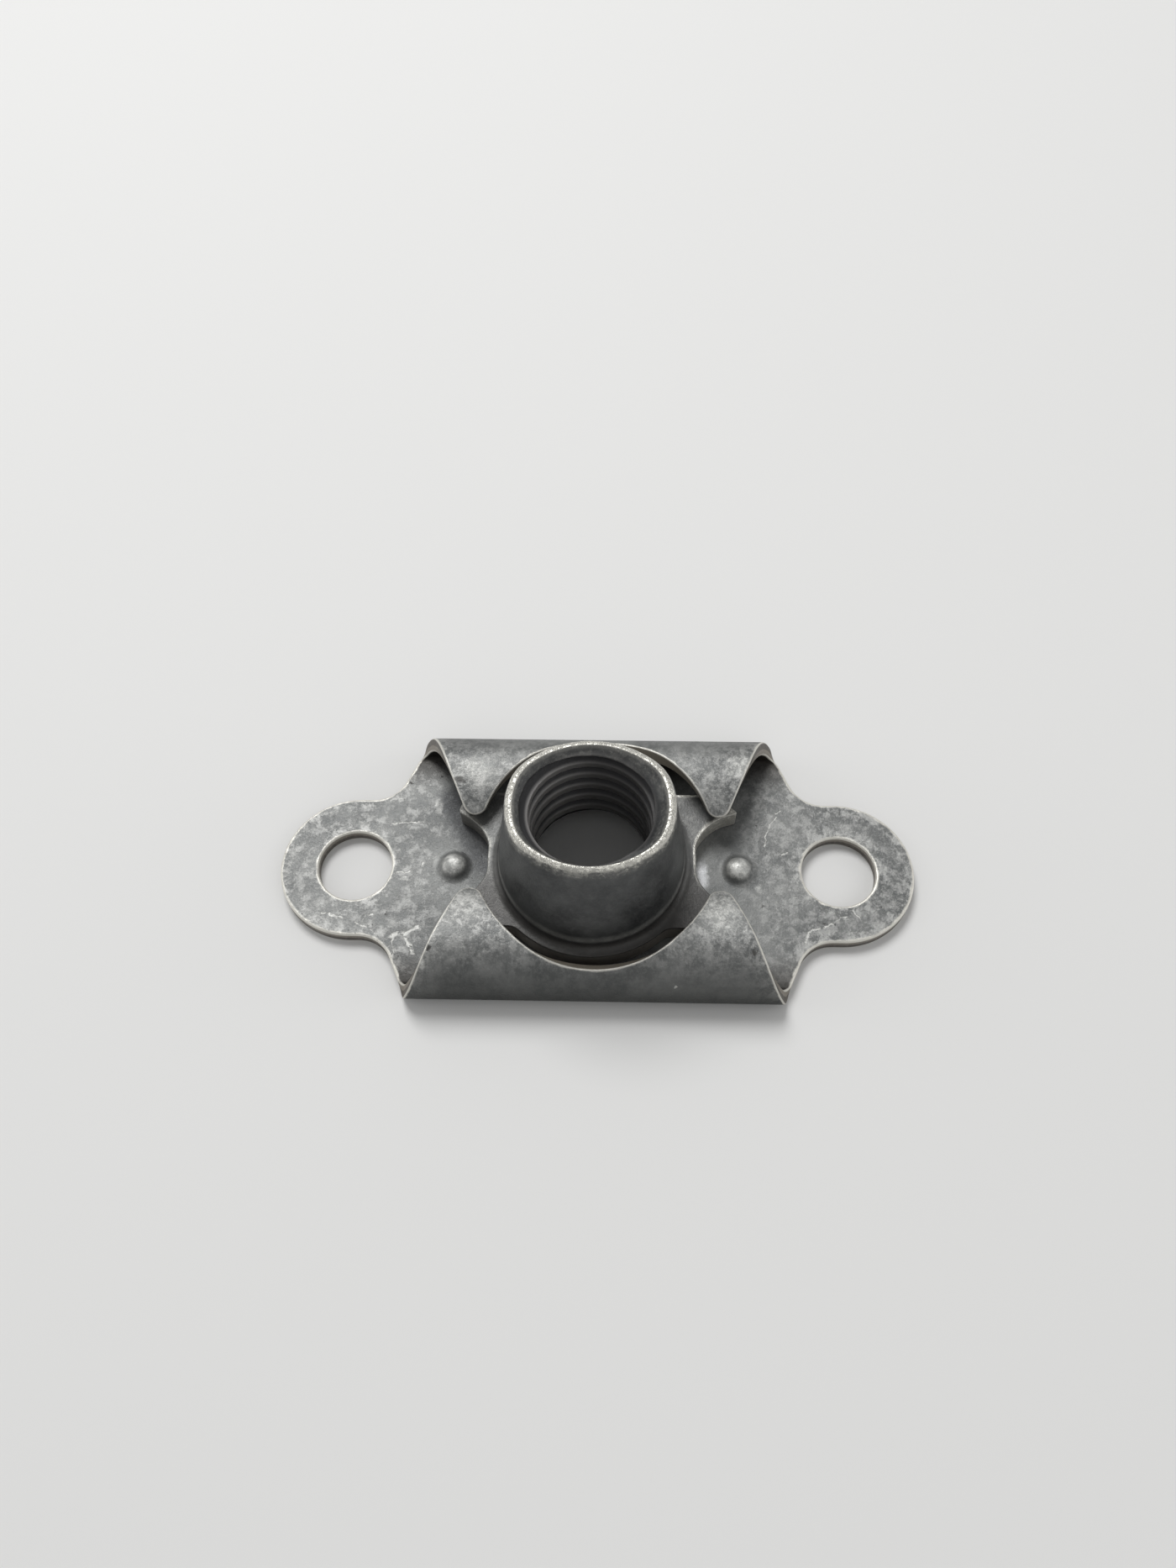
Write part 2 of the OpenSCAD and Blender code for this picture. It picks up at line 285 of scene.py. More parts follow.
class Shell:
    """Points and faces. Each point keeps its gap to the nearest worn edge, and the bore's radius if in it."""

    def __init__(self, upper, lower, tris, gap):
        """Starts with an upper and a lower face, as points, and each one's triangles."""
        self.points, self.faces, self.gaps, self.walls, self.total = [], [], [], [], 0
        self.upper, self.lower = self.add(upper, gap[0]), self.add(lower, gap[1])
        self.faces += [list(f) for f in tris[0]]
        self.faces += [[a + len(upper), c + len(upper), b + len(upper)] for a, b, c in tris[1]]

    def add(self, points, gap, wall=0.0):
        count = len(points)
        self.points.append(points)
        self.gaps.append(np.broadcast_to(gap, count))
        self.walls.append(np.broadcast_to(wall, count))
        self.total += count
        return np.arange(self.total - count, self.total)

    def wrap(self, loop, profile, start):
        """A rim round a loop, between the points of both faces that are numbered from start."""
        rows = [self.upper[start:start + len(loop)]]
        for inset, z in profile[1:-1]:
            rows.append(self.add(at_height(loop - inset * outward(loop), z), inset))
        rows.append(self.lower[start:start + len(loop)])
        for above, below in zip(rows, rows[1:]):
            self.faces += band(above, below)


print("a band between two rings of 4 has", len(band(range(4), range(4, 8))), "faces")


# %% Turn it into an object that keeps its values
def to_scene(name, data):
    thing = bpy.data.objects.new(name, data)
    bpy.context.scene.collection.objects.link(thing)
    return thing


def to_mesh(name, verts, faces):
    mesh = bpy.data.meshes.new(name)
    mesh.from_pydata((verts * MM).tolist(), [], [list(map(int, f)) for f in faces])
    mesh.validate()
    mesh.shade_smooth()
    print(name, "has", len(mesh.vertices), "points and", len(mesh.polygons), "faces")
    return to_scene(name, mesh)


def keep_value(thing, name, values):
    """Stores one number or one vector for each point, for the node trees and materials to read."""
    values = np.asarray(values, dtype=np.float32)
    kind, field = ("FLOAT", "value") if values.ndim == 1 else ("FLOAT_VECTOR", "vector")
    thing.data.attributes.new(name, kind, "POINT").data.foreach_set(field, values.ravel())
    print(thing.name, "keeps", name)


# %% [markdown]
# ## The dimples
# Two dimples are pushed up through the sheet as stops for the nut. A dimple is a small dome with a fillet
# round its foot, and the punch leaves a hollow under it. They could be bumps in the material, but they stand
# almost as high as the sheet is thick. So they are heights, added to the flat sheet's points.

# %% Where a dimple starts and ends
dome_z = SHEET + DOME_H - DOME_R
dome_foot = math.sqrt((DOME_R + DOME_FILLET) ** 2 - (SHEET + DOME_FILLET - dome_z) ** 2)
dome_edge = dome_foot * DOME_R / (DOME_R + DOME_FILLET)
DIMPLE_X = FLANGE_R + FLOAT_X + dome_foot
print("a dimple is", round(2 * dome_foot, 3), "mm across, at", round(DIMPLE_X, 3))


# %% Heights of the two faces of the sheet
def from_dimple(points):
    """Distance of flat points from the middle of the nearer dimple."""
    return np.hypot(np.abs(points[:, 0]) - DIMPLE_X, points[:, 1])


def faces_of_sheet(points):
    """Heights of the upper and lower face at flat points."""
    r = from_dimple(points)
    dome = dome_z + np.sqrt(np.maximum(DOME_R**2 - r**2, 0))
    skirt = np.sqrt(np.maximum(DOME_FILLET**2 - np.maximum(dome_foot - r, 0) ** 2, 0))
    skirt = SHEET + DOME_FILLET - skirt
    upper = np.where(r < dome_edge, dome, np.where(r < dome_foot, skirt, SHEET))
    punch = DOME_H - PUNCH_R
    mark = punch + np.sqrt(np.maximum(PUNCH_R**2 - r**2, 0))
    return upper, np.where(r < math.sqrt(PUNCH_R**2 - punch**2), mark, 0)


print("top of a dimple at", round(faces_of_sheet(np.array([(DIMPLE_X, 0)]))[0][0], 3), "mm")

# %% [markdown]
# ## The sheet's points
# A fold looks round only where rows of points cross it, so the rows lie close together in the arcs and
# further apart on the flat. The dimples get rings of their own. A plain even grid would need many times as
# many points for the same curves.

# %% Rows and columns of points on the blank
ROW_GAP, COLUMN_GAP = 0.22, 0.16
rows = np.concatenate([
    np.arange(0, BEND_Y, ROW_GAP), BEND_Y + np.linspace(0, BEND_LEN, 17),
    BEND_Y + BEND_LEN + np.linspace(0, SIDE_LEN, 33)[1:],
    BEND_Y + BEND_LEN + SIDE_LEN + np.linspace(0, LIP_LEN, 17)[1:-1]])
rows = np.concatenate([-rows[:0:-1], rows])
columns = np.arange(-11.5, 11.6, COLUMN_GAP)
grid = np.array([(x, y) for y in rows for x in columns])
print(len(rows), "rows of", len(columns), "points")

# %% Rings of points on the two dimples
PATCH_R, RING_GAP, PER_MM = 0.95, 0.05, 110
polar = np.array([(r * math.cos(a), r * math.sin(a)) for r in np.arange(0.0, 0.93, RING_GAP)
                  for a in np.arange(0, 2 * math.pi - 0.01, 2 * math.pi / max(1, round(r * PER_MM)))])
grid = np.vstack([grid[from_dimple(grid) > PATCH_R]] + [polar + (side * DIMPLE_X, 0) for side in (-1, 1)])
grid = grid[in_metal(grid, sheet_loops)]
grid = grid[gap_to(grid, sheet_loops) > SHEET_HOLD + 0.06]
print(len(grid), "points between the edges")

# %% Build the blank as a closed sheet
flat, tris = fill([loop - SHEET_HOLD * outward(loop) for loop in sheet_loops], grid)
upper, lower = faces_of_sheet(flat)
sheet = Shell(at_height(flat, upper), at_height(flat, lower), (tris, tris), [gap_to(flat, sheet_loops)] * 2)
start = 0
for loop in sheet_loops:
    sheet.wrap(loop, sheet_profile, start)
    start += len(loop)

verts, gaps = np.vstack(sheet.points), np.concatenate(sheet.gaps)
cage = to_mesh("cage_sheet", verts, sheet.faces)
keep_value(cage, "edge_gap", gaps)
keep_value(cage, "cut_wall", gaps < 0.001)
keep_value(cage, "flat_place", verts)

# %% [markdown]
# ## Fold it
# A fold is a rule: how far a point lies past the bend line says which arc it is on and how far round.
# The points could be moved in Python, once. Geometry Nodes suit a rule better, because each size is a named
# input and the whole sheet follows at once. Two small classes let the rule be written as plain sums.

# %% Write sums as nodes
class Sum:
    """One output of a node. Arithmetic written with it becomes Math nodes in the same tree."""

    def __init__(self, tree, socket):
        self.tree, self.socket = tree, socket


for sign, kind in (("add", "ADD"), ("sub", "SUBTRACT"), ("mul", "MULTIPLY"), ("truediv", "DIVIDE")):
    setattr(Sum, f"__{sign}__", lambda a, b, kind=kind: a.tree.do(kind, a, b))
    setattr(Sum, f"__r{sign}__", lambda a, b, kind=kind: a.tree.do(kind, b, a))
print("sums: + - * /")


# %% Write other nodes
class Rule:
    """Writes the nodes of one tree. A value is a number or a Sum."""

    def __init__(self, tree):
        self.tree = tree

    def put(self, socket, value):
        if isinstance(value, Sum):
            self.tree.links.new(value.socket, socket)
        else:
            socket.default_value = value

    def node(self, kind, output, inputs, **settings):
        """A node with its settings and its inputs, by name or by number. Returns one of its outputs."""
        made = self.tree.nodes.new(kind)
        for name, value in settings.items():
            setattr(made, name, value)
        for name, value in (inputs if isinstance(inputs, dict) else dict(enumerate(inputs))).items():
            self.put(made.inputs[name], value)
        return Sum(self, made.outputs[output])

    def inputs(self):
        """The tree's own inputs, by name."""
        return {socket.name: Sum(self, socket) for socket in self.tree.nodes.new("NodeGroupInput").outputs}

    def output(self, value):
        self.put(self.tree.nodes.new("NodeGroupOutput").inputs[0], value)
        self.count("in " + self.tree.name)

    def count(self, what):
        print(len(self.tree.nodes), "nodes", what)

    def do(self, kind, *values, clamp=False):
        return self.node("ShaderNodeMath", 0, values, operation=kind, use_clamp=clamp)

    def length(self, x, y):
        return self.do("SQRT", x * x + y * y)

    def pick(self, choice, no, yes):
        return self.node("GeometryNodeSwitch", "Output", {"Switch": choice, "False": no, "True": yes},
                         input_type="FLOAT")

    def split(self, vector):
        x = self.node("ShaderNodeSeparateXYZ", 0, [vector])
        return [Sum(self, socket) for socket in x.socket.node.outputs]

    def join(self, x, y, z):
        return self.node("ShaderNodeCombineXYZ", 0, (x, y, z))


print("nodes:", ", ".join(name for name in vars(Rule) if not name.startswith("_")))


# %% Start and end a tree that moves points
def new_tree(name, inputs):
    """A new tree with inputs in metres, its writer and its inputs."""
    tree = bpy.data.node_groups.new(name, "GeometryNodeTree")
    tree.interface.new_socket("Geometry", in_out="INPUT", socket_type="NodeSocketGeometry")
    for label, value in inputs.items():
        socket = tree.interface.new_socket(label, in_out="INPUT", socket_type="NodeSocketFloat")
        socket.default_value = value
    tree.interface.new_socket("Geometry", in_out="OUTPUT", socket_type="NodeSocketGeometry")
    tree.interface.new_socket("Material", in_out="INPUT", socket_type="NodeSocketMaterial")
    s = Rule(tree)
    return tree, s, s.inputs()


def finish_tree(s, size, position, chosen=True):
    """Moves the chosen points, and ends the tree in Realize Instances and Set Material."""
    moved = s.node("GeometryNodeSetPosition", 0, {
        "Geometry": size["Geometry"], "Position": position, "Selection": chosen})
    real = s.node("GeometryNodeRealizeInstances", 0, [moved])
    s.output(s.node("GeometryNodeSetMaterial", 0, {"Geometry": real, "Material": size["Material"]}))


# %% Use a tree on an object
def apply_tree(thing, tree, values):
    """Sets a tree's inputs on an object, and keeps the result as its plain mesh."""
    modifier = thing.modifiers.new(tree.name, "NODES")
    modifier.node_group = tree
    for item in tree.interface.items_tree:
        if item.item_type == "SOCKET" and item.in_out == "INPUT" and item.name in values:
            modifier[item.identifier] = values[item.name]
    seen = thing.evaluated_get(bpy.context.evaluated_depsgraph_get())
    mesh = bpy.data.meshes.new_from_object(seen)
    thing.modifiers.remove(modifier)
    old, thing.data = thing.data, mesh
    name = old.name
    bpy.data.meshes.remove(old)
    mesh.name = name
    print(thing.name, "after", tree.name, "has", len(mesh.polygons), "faces")


# %% Inputs of the fold
arcs = {"Bend Line": BEND_Y, "Bend Radius": BEND_OUT, "Side Radius": SIDE_OUT, "Lip Radius": LIP_OUT,
        "Crown Line": CROWN_Y, "Crown Height": CROWN_Z, "Bend Length": BEND_LEN, "Side Length": SIDE_LEN,
        "Thickness": SHEET}
arcs = {name: value * MM for name, value in arcs.items()}
fold, s, size = new_tree("fold_flaps", arcs)
x, y, z = s.split(s.node("GeometryNodeInputPosition", 0, []))
side, off = s.do("SIGN", y), s.do("ABSOLUTE", y)
half_sheet = size["Thickness"] * 0.5
print(len(arcs), "sizes drive the fold")


# %% Where each arc sends a point
def swung(length, radius):
    """How far a point swings along and across, once a length of the sheet's middle has gone round."""
    angle, r = length / (radius - half_sheet), radius - z
    return r * s.do("SINE", angle), r * s.do("COSINE", angle)


past = off - size["Bend Line"]
sine, cosine = swung(past, size["Bend Radius"])
bend = (size["Bend Line"] + sine, size["Bend Radius"] - cosine)
past_bend = past - size["Bend Length"]
sine, cosine = swung(past_bend, size["Side Radius"])
round_side = (size["Crown Line"] + cosine, size["Bend Radius"] + sine)
past_side = past_bend - size["Side Length"]
sine, cosine = swung(past_side, size["Lip Radius"])
lip = (size["Crown Line"] - sine, size["Crown Height"] - size["Lip Radius"] + cosine)
s.count("reach the bend, the side and the lip")

# %% Choose the arc, then fold
on_bend, on_side, on_lip = (s.do("GREATER_THAN", length, 0.0) for length in (past, past_bend, past_side))
new_y, new_z = (s.pick(on_lip, s.pick(on_side, s.pick(on_bend, level, bend[k]), round_side[k]), lip[k])
                for k, level in enumerate((off, z)))
finish_tree(s, size, s.join(x, side * new_y, new_z))
apply_tree(cage, fold, arcs)

# %% [markdown]
# ## The nut's flange
# The nut stands on a flange with four ears. The ears lie under the fingers and keep the nut in the cage, and
# each pair leaves a scallop that fits round a dimple. One ear has a small spur of flash, where the tool that
# cut it was worn. Circles could be cut from a disc with booleans. Arcs that meet at worked-out corners give
# a cleaner edge, and a light smoothing then rounds the corners as tumbling does.

# %% Corners of the flange
def meet(r0, cx, r1):
    """Where a circle at the origin meets one of radius r1 at (cx, 0), above the axis."""
    x = (r0**2 - r1**2 + cx**2) / (2 * cx)
    return x, math.sqrt(r0**2 - x**2)


scallop_at = FOOT_R + SCALLOP_R
low = meet(FLANGE_R, scallop_at, SCALLOP_R)
tip = meet(EAR_R, scallop_at, SCALLOP_R)
side_from, side_to = math.asin(EAR_W / EAR_R), math.asin(EAR_W / FLANGE_R)
print("an ear's tip is at", np.round(tip, 3))


# %% Outline of the flange
def ear(spur):
    """A quarter of the flange's outline, from +X to +Y."""
    scallop_end = math.atan2(tip[1], tip[0] - scallop_at)
    ear_from = math.atan2(tip[1], tip[0])
    flash = np.zeros((0, 2))
    if spur:
        point = (math.sqrt(EAR_R**2 - SCALLOP_R**2) + spur, SCALLOP_R)
        flash = np.array([point])
        scallop_end = math.acos((point[0] - scallop_at - 0.03) / SCALLOP_R)
        back = np.linspace(point, (point[0] - 2 * spur, EAR_W), 90)
        ear_from = next(math.atan2(by, bx) for bx, by in back if math.hypot(bx, by) < EAR_R)
    return np.vstack([
        arc((0, 0), FLANGE_R, 0, math.atan2(low[1], low[0])),
        arc((scallop_at, 0), SCALLOP_R, math.atan2(low[1], low[0] - scallop_at), scallop_end), flash,
        arc((0, 0), EAR_R, ear_from, side_from), arc((0, 0), FLANGE_R, side_to, math.pi / 2)])


SMOOTHINGS = 20
plain = ear(0)
flange = evenly(np.vstack([ear(SPUR), mirrored(plain, 0), -plain, mirrored(plain, 1)]), 0.05)
for _ in range(SMOOTHINGS):
    flange = (np.roll(flange, 1, axis=0) + 2 * flange + np.roll(flange, -1, axis=0)) / 4
print("flange", np.round(np.ptp(flange, axis=0), 2), "mm")

# %% [markdown]
# ## The barrel
# The barrel is turned, then squeezed from the front and the back near its rim, so that its thread grips.
# A lathe-like Spin would make it round, but the squeeze makes every ring near the rim oval. So the barrel is
# a stack of rings whose radius depends on height and direction. The outer rings follow the fillet, the cone
# and the squeeze. The inner ones are a plain bore with a countersink at each end.

# %% Radius of the barrel's outside, round and up
AROUND = 192
BLEND = 0.12  # width of the soft change from cone to squeeze
WIDE_R = 1.2 * RIM_R  # the squeezed sides are flatter than the rim
turn = -np.arange(AROUND) * 2 * math.pi / AROUND
cone_z = (FLANGE_T + FOOT_FILLET, NUT_H - RIM_ROUND)
squeeze_z = NUT_H - SQUEEZE_H
squeeze_r = np.interp(squeeze_z, cone_z, (CONE_R, RIM_R)) + 0.05


def soft_least(a, b):
    mix = np.clip(0.5 + 0.5 * (b - a) / BLEND, 0, 1)
    return b * (1 - mix) + a * mix - BLEND * mix * (1 - mix)


def outside_r(z):
    cone = np.interp(z, cone_z, (CONE_R, RIM_R))
    if z <= squeeze_z - 0.3:
        return np.full(AROUND, cone)
    off = squeeze_r - (squeeze_r - RIM_R + SQUEEZE) * (z - squeeze_z) / SQUEEZE_H
    shift = WIDE_R - off
    squeezed = np.sqrt(WIDE_R**2 - (shift * np.cos(turn)) ** 2) - shift * np.abs(np.sin(turn))
    return np.minimum(soft_least(cone, squeezed), cone)


print("rim", np.round(2 * np.sort(outside_r(NUT_H))[[0, -1]], 3), "mm across")

# %% Rings up the outside and over the rim
def ring(radius, z):
    radius = np.broadcast_to(radius, AROUND)
    return np.column_stack([radius * np.cos(turn), radius * np.sin(turn), np.full(AROUND, z)])


quarter_turn = np.linspace(0, math.pi / 2, 9)
rings = [ring(FOOT_R - FOOT_FILLET * math.sin(t), FLANGE_T + FOOT_FILLET * (1 - math.cos(t)))
         for t in quarter_turn]
rings += [ring(outside_r(z), z) for z in np.linspace(*cone_z, 34)[1:]]
rim = outside_r(cone_z[1])
rings += [ring(rim - RIM_ROUND * (1 - math.cos(t)), NUT_H - RIM_ROUND * (1 - math.sin(t)))
          for t in quarter_turn[1:]]
lip = rim - RIM_ROUND - 0.02 - 0.05 * np.cos(turn) ** 2
rings.append(ring(lip, NUT_H))
outer_rings = len(rings)
print(outer_rings, "rings of", AROUND, "outside")

# %% Rings down the bore
LEAD_TAN = math.tan(math.radians(40))  # slope of the countersinks
ROW = 0.03
heights = np.arange(NUT_H - 0.02, 0.005, -ROW)


def bore_r(z):
    """The bore, a little oval where the barrel is squeezed."""
    fade = np.clip((z - squeeze_z) / SQUEEZE_H, 0, 1) ** 2
    return MINOR_R * (1 + fade * (0.05 * np.cos(turn) ** 2 - 0.03 * np.sin(turn) ** 2))


bore_walls = [bore_r(z) for z in heights]
for z, wall in zip(heights, bore_walls):
    countersink = np.maximum(lip - 0.01 - (NUT_H - z) * LEAD_TAN, MINOR_R + LEAD - z * LEAD_TAN)
    rings.append(ring(np.maximum(wall, countersink), z))
print(len(rings) - outer_rings, "rings in the bore")

# %% [markdown]
# ## Join the flange and the barrel
# The real nut is one piece of steel. Two overlapping shells would be quicker to make, but their surfaces
# would cross inside the metal. So it is one closed shell: the flange's two faces, with the barrel's foot and
# the bore as holes in them, the rim between them, and the stack of rings.

# %% Faces of the flange
FLANGE_HOLD = 0.04
flange_in = flange - FLANGE_HOLD * outward(flange)
foot, bore_foot = rings[0][:, :2], ring(MINOR_R + LEAD, 0)[:, :2]
dots = np.array([(x, y) for y in np.arange(-5.2, 5.3, 0.2) for x in np.arange(-5.6, 5.7, 0.2)])
dots = dots[inside(dots, flange_in)]
off_edge, from_axis = gap_to(dots, [flange]) > 0.15, np.hypot(*dots.T)
top, top_tris = fill([flange_in, foot], dots[(from_axis > FOOT_R + 0.1) & off_edge])
base, base_tris = fill([flange_in, bore_foot], dots[(from_axis > MINOR_R + LEAD + 0.1) & off_edge])
print(len(top_tris), "triangles above and", len(base_tris), "below")

# %% One closed nut
shell = Shell(at_height(top, FLANGE_T), at_height(base, 0), (top_tris, base_tris),
              (gap_to(top, [flange]), gap_to(base, [flange])))
shell.wrap(flange, corner_profile(FLANGE_T, 0.035, 0.035, FLANGE_HOLD), 0)
inner = slice(len(flange), len(flange) + AROUND)
previous = shell.upper[inner]
for k, row in enumerate(rings[1:], 1):
    outer = k < outer_rings
    gap = np.abs(row[:, 2] - NUT_H) if outer else NUT_H - row[:, 2]
    now = shell.add(row, gap, 0.0 if outer else bore_walls[k - outer_rings])
    shell.faces += band(previous, now)
    previous = now
shell.faces += band(previous, shell.lower[inner])
nut = to_mesh("nut_barrel", np.vstack(shell.points) + (NUT_X, 0, NUT_Z), shell.faces)
keep_value(nut, "edge_gap", np.concatenate(shell.gaps))
keep_value(nut, "bore_wall", np.concatenate(shell.walls) * MM)

# %% [markdown]
# ## The thread
# A thread is a groove that climbs one pitch for each turn. A helix could be swept along a path and cut out
# with a boolean, which is slow and often leaves slivers. At any point of the bore, its height and its angle
# say how deep the groove is there, so a node tree can push the plain bore out by that much.

# %% Inputs of the thread
cuts = {"Axis X": NUT_X * MM, "Pitch": PITCH * MM, "Groove Depth": (THREAD_R - MINOR_R) * MM,
        "Root Share": 0.0625, "Crest Share": 0.344}
thread, s, size = new_tree("cut_thread", cuts)
wall_r = s.node("GeometryNodeInputNamedAttribute", "Attribute", {"Name": "bore_wall"}, data_type="FLOAT")
off_x, y, z = s.split(s.node("GeometryNodeInputPosition", 0, []))
x = off_x - size["Axis X"]
radius = s.length(x, y)
print(len(cuts), "sizes drive the thread")

# %% How deep the groove is at a point, then cut
climb = z / size["Pitch"] - s.do("ARCTAN2", y, x) / (2 * math.pi)
groove = s.node("ShaderNodeMapRange", "Result", {
    "Value": s.do("PINGPONG", climb, 0.5), "From Min": size["Root Share"], "From Max": size["Crest Share"],
    "To Min": size["Groove Depth"], "To Max": 0.0})
new_r = s.do("MAXIMUM", radius, wall_r + groove)
grow = new_r / radius
finish_tree(s, size, s.join(x * grow + size["Axis X"], y * grow, z),
            s.do("GREATER_THAN", wall_r, 0.0))
apply_tree(nut, thread, cuts)

# %% [markdown]
# ## Tools for the finishes
# The steel has a dark coat that has aged unevenly and is rubbed through where it was handled. Painted images
# could show that, but they blur close up. Here every mark is worked out from a point's place on its piece, so
# it is sharp at any size. A third class writes the texture and colour nodes.

# %% Write textures and colours as nodes
class Paint(Rule):
    """A rule's writer, with the few texture and colour nodes that the finishes need."""

    def vector(self, kind, *values):
        output = "Value" if kind in ("DOT_PRODUCT", "DISTANCE") else "Vector"
        return self.node("ShaderNodeVectorMath", output, values, operation=kind)

    def scaled(self, place, factor):
        return self.node("ShaderNodeVectorMath", "Vector", {0: place, "Scale": factor}, operation="SCALE")

    def noise(self, place, scale, detail, rough=0.5, colour=False):
        """A soft random value at each place, or three of them as a colour."""
        return self.node("ShaderNodeTexNoise", "Color" if colour else "Fac", {
            "Vector": place, "Scale": scale, "Detail": detail, "Roughness": rough})

    def ramp(self, value, low, high):
        """0 at low, 1 at high, and a soft curve between. High may be the smaller of the two."""
        return self.node("ShaderNodeMapRange", "Result", {"Value": value, "From Min": low, "From Max": high},
                         interpolation_type="SMOOTHSTEP")

    def mix(self, below, above, mask):
        below, above = ((*c, 1) if isinstance(c, tuple) else c for c in (below, above))
        return self.node("ShaderNodeMix", 2, {0: mask, 6: below, 7: above}, data_type="RGBA")

    def layers(self, colour, *over):
        """Lays colours over the first one, each where its own mask says."""
        for above, mask in over:
            colour = self.mix(colour, above, mask)
        return colour

    def blend(self, below, above, mask):
        return below * (1.0 - mask) + above * mask

    def attribute(self, name, output="Fac"):
        return self.node("ShaderNodeAttribute", output, [], attribute_name=name)

    def use(self, group, place, **values):
        """A shader group at a place, with its other inputs set. An underscore stands for a space."""
        values = {name.replace("_", " "): value for name, value in values.items()}
        return self.node("ShaderNodeGroup", 0, {"Place": place, **values}, node_tree=group)


print("paint:", ", ".join(name for name in vars(Paint) if not name.startswith("_")))

# %% [markdown]
# ## Marks of wear as shader groups
# Both pieces show the same wear, each in its own measure. An effect could be copied from one material to the
# other. A group with named inputs is built once instead, and each material places it with its own values.
# Every group puts out one mask, from 0 to 1, and the material decides what the mask does.

# %% Start a group
def shader_group(name, inputs):
    """A new group, its writer and its inputs. An input of None is a vector."""
    tree = bpy.data.node_groups.new(name, "ShaderNodeTree")
    for label, value in inputs.items():
        kind = "NodeSocketVector" if value is None else "NodeSocketFloat"
        socket = tree.interface.new_socket(label, in_out="INPUT", socket_type=kind)
        if value is not None:
            socket.default_value = value
    tree.interface.new_socket("Mask", in_out="OUTPUT", socket_type="NodeSocketFloat")
    s = Paint(tree)
    return tree, s, s.inputs()


# %% Blotches, where a coating has aged unevenly
blotches, s, given = shader_group("blotches", {
    "Place": None, "Size": 1.0, "Low": 0.45, "High": 0.6, "Breakup": 0.6})
spread = s.noise(given["Place"], 1.0 / given["Size"], 6.0, given["Breakup"])
s.output(s.ramp(spread, given["Low"], given["High"]))

# %% Edges that handling has rubbed bright
worn_edge, s, given = shader_group("worn_edge", {
    "Place": None, "Edge Gap": 1.0, "Reach": 0.1, "Breakup": 0.8})
change = s.noise(given["Place"], 2.2, 5.0, 0.65) * 3.2 - 1.6
uneven = 1.0 + given["Breakup"] * change
reach = given["Reach"] * s.do("MAXIMUM", uneven, 0.02)
s.output(s.ramp(given["Edge Gap"], reach, reach * 0.35))

# %% Hairline scratches, along the borders between random cells
hairlines, s, given = shader_group("hairlines", {
    "Place": None, "Size": 1.0, "Width": 0.03, "Share": 0.4})
bent = s.vector("ADD", given["Place"], s.scaled(s.noise(given["Place"], 1.1, 5.0, colour=True), 1.6))
cells = s.node("ShaderNodeTexVoronoi", "Distance", {"Vector": bent, "Scale": 1.0 / given["Size"]},
               feature="DISTANCE_TO_EDGE")
line = s.ramp(cells * given["Size"], given["Width"], given["Width"] * 0.3)
patch = s.ramp(s.noise(given["Place"], 0.8 / given["Size"], 3.0, 0.6), 1.0 - given["Share"],
               1.12 - given["Share"])
s.output(line * patch)

# %% One rubbed spot
rubbed_spot, s, given = shader_group("rubbed_spot", {
    "Place": None, "Centre": None, "Reach X": 0.5, "Reach Y": 0.5, "Softness": 0.6})
across, along, _ = s.split(s.vector("SUBTRACT", given["Place"], given["Centre"]))
far = s.length(across / given["Reach X"], along / given["Reach Y"])
s.output(s.ramp(far, 1.0, 1.0 - given["Softness"]))

# %% One scratch from end to end
scratch, s, given = shader_group("scratch", {"Place": None, "From": None, "To": None, "Width": 0.04})
here = s.vector("SUBTRACT", given["Place"], given["From"])
whole = s.vector("SUBTRACT", given["To"], given["From"])
share, full = s.vector("DOT_PRODUCT", here, whole), s.vector("DOT_PRODUCT", whole, whole)
share = s.do("DIVIDE", share, full, clamp=True)
off = s.vector("DISTANCE", here, s.scaled(whole, share))
s.output(s.ramp(off, given["Width"], given["Width"] * 0.3))

# %% [markdown]
# ## The cage's steel
# The cage has a grey coat over steel. It has aged to pale blotches on the lugs, where hands and panels touch
# it, and stays darker on the flaps, darker still towards their feet as painted shade. Edges are rubbed to
# bright metal. The upper flaps and finger tips are paler and rubbed, partly as wear and partly as a painted
# highlight.
# The cut walls are brown, and the notch walls are painted lighter, as painted light in their shade. Painted
# shade also darkens the inside of the folds and the plate beside the nut under the back left finger, and
# painted light brightens the dimple tops and a patch beside the nut. One noise over the whole piece would
# look the same everywhere. So the places come first, as masks made from the flat blank's own coordinates,
# then the patterns and the marks, and then the colours in layers.

# %% Start a finish
def finish(name):
    """A new material, its writer and its shader's inputs."""
    made = bpy.data.materials.new(name)
    made.use_nodes = True
    print("finish", name)
    return made, Paint(made.node_tree), made.node_tree.nodes["Principled BSDF"].inputs


def bump(s, skin, height, distance):
    s.put(skin["Normal"], s.node("ShaderNodeBump", 0, {"Distance": distance * MM, "Height": height}))


cage_steel, s, skin = finish("worn_cage_steel")

